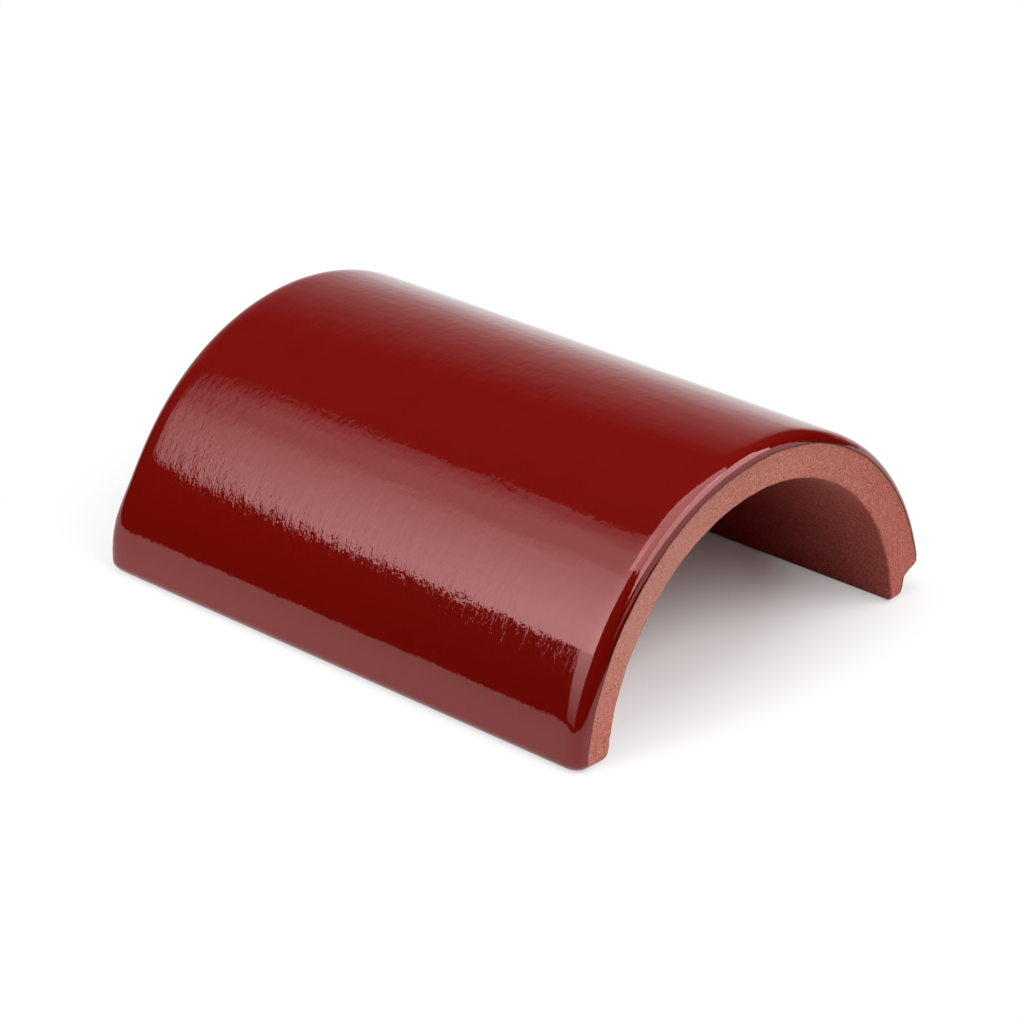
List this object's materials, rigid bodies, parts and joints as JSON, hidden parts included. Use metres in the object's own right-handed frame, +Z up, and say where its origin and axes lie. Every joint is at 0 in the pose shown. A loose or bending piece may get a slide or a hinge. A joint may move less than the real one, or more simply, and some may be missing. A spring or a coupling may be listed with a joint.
{
  "type": "glazed ridge tile",
  "caption": "Half-round barrel ridge tile of fired clay, glazed oxblood red outside, with bullnosed ends, raw clay end faces and an open arch that sits over the roof ridge.",
  "frame": {"origin": "on the floor under the middle of the tile, at the bottom centre of its box", "axes": "+Y along the ridge, away from the end that the picture shows; +Z up through the crown; +X across the tile, towards the trimmed foot"},
  "size_m": [0.2496, 0.3, 0.1155],
  "materials": {
    "glazed_clay": "deep oxblood red glossy glaze on the outside and over the bullnosed ends, raw sandy terracotta on the end faces, the inside and the feet"
  },
  "bodies": {
    "root": {"ridge_tile": "glazed_clay"}
  },
  "joints": []
}
